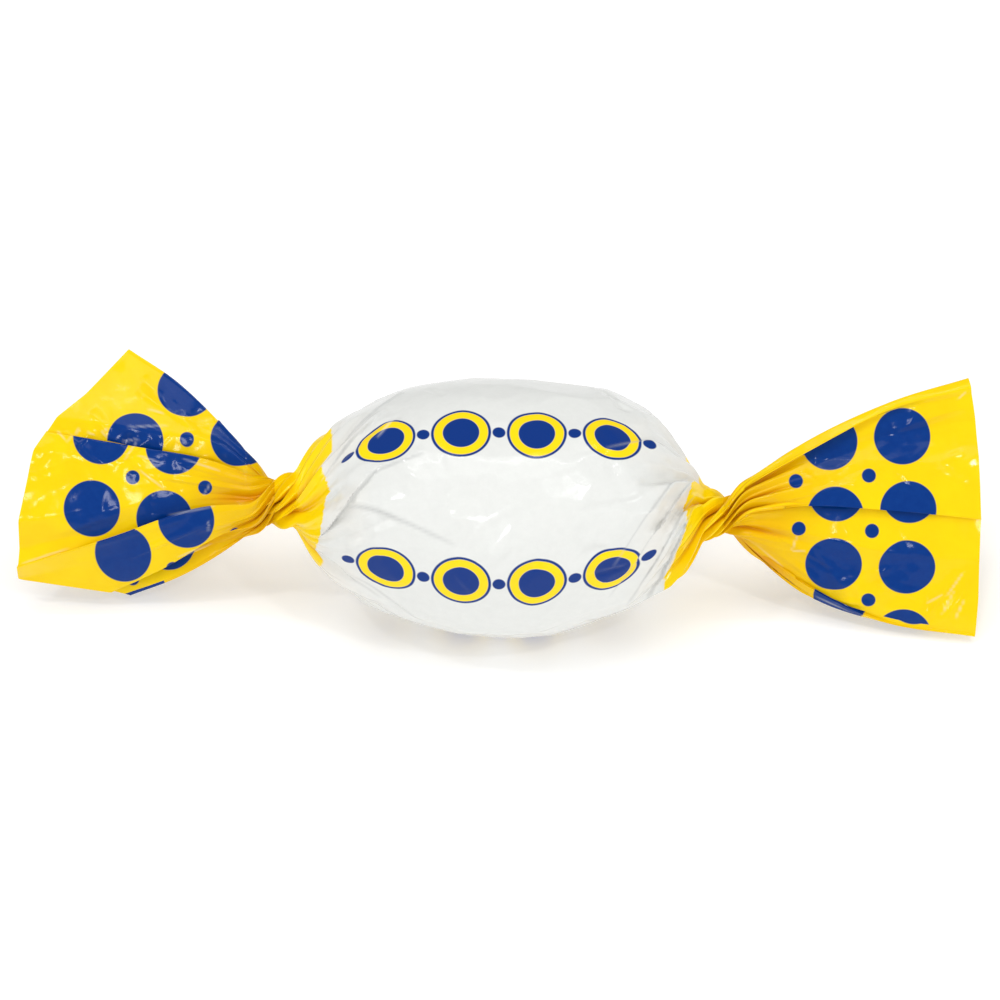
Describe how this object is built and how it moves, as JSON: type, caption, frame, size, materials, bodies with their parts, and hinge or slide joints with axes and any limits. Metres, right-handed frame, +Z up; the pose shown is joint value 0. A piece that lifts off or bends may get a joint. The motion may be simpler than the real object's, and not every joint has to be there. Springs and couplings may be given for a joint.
{
  "type": "wrapped caramel candy",
  "caption": "Twist-wrapped caramel: a lemon-shaped belly of glossy white film with two pleated necks and two flared yellow tails.",
  "frame": {"origin": "middle of the bottom of the part's box, on the surface that the belly's flat spot rests on", "axes": "+X along the candy towards its right-hand tail as pictured, +Z up; the tails' faces look towards -Y and up"},
  "size_m": [0.0752, 0.0204, 0.0195],
  "materials": {
    "printed_film": "glossy printed twist-wrap film, white round the belly and yellow on the tails"
  },
  "bodies": {
    "root": {"wrapped_caramel": "printed_film"}
  },
  "joints": []
}
